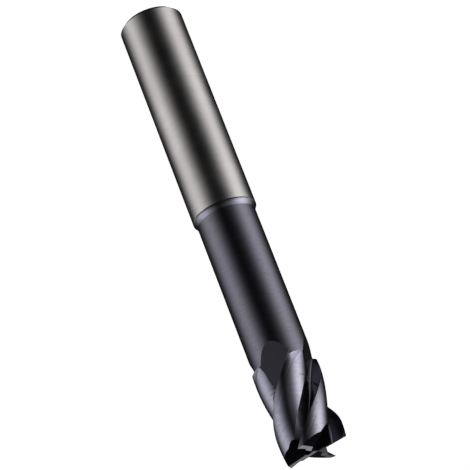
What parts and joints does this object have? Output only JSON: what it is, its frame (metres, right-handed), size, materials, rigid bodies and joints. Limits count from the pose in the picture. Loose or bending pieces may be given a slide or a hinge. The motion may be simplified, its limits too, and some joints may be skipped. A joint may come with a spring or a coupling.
{
  "type": "end mill",
  "caption": "Solid round cutting tool with a plain shank, a reduced neck and a short helically fluted, square-cornered cutting end.",
  "frame": {"origin": "centre of the shank's flat end face, on the tool's axis", "axes": "+Z along the tool's axis towards the cutting end; one cutting corner stands 28.5 degrees from +X"},
  "size_m": [0.012, 0.012, 0.0911],
  "materials": {
    "ground_carbide": "bare cylindrically ground carbide, fine grinding lines round the shank, bright",
    "coated_carbide": "dark violet-grey hard coating over ground carbide, satin metallic"
  },
  "bodies": {
    "root": {"shank": "ground_carbide", "neck": "coated_carbide", "run_out_collar": "coated_carbide", "core": "coated_carbide", "tooth_1": "coated_carbide", "tooth_2": "coated_carbide", "tooth_3": "coated_carbide", "tooth_4": "coated_carbide"}
  },
  "joints": []
}
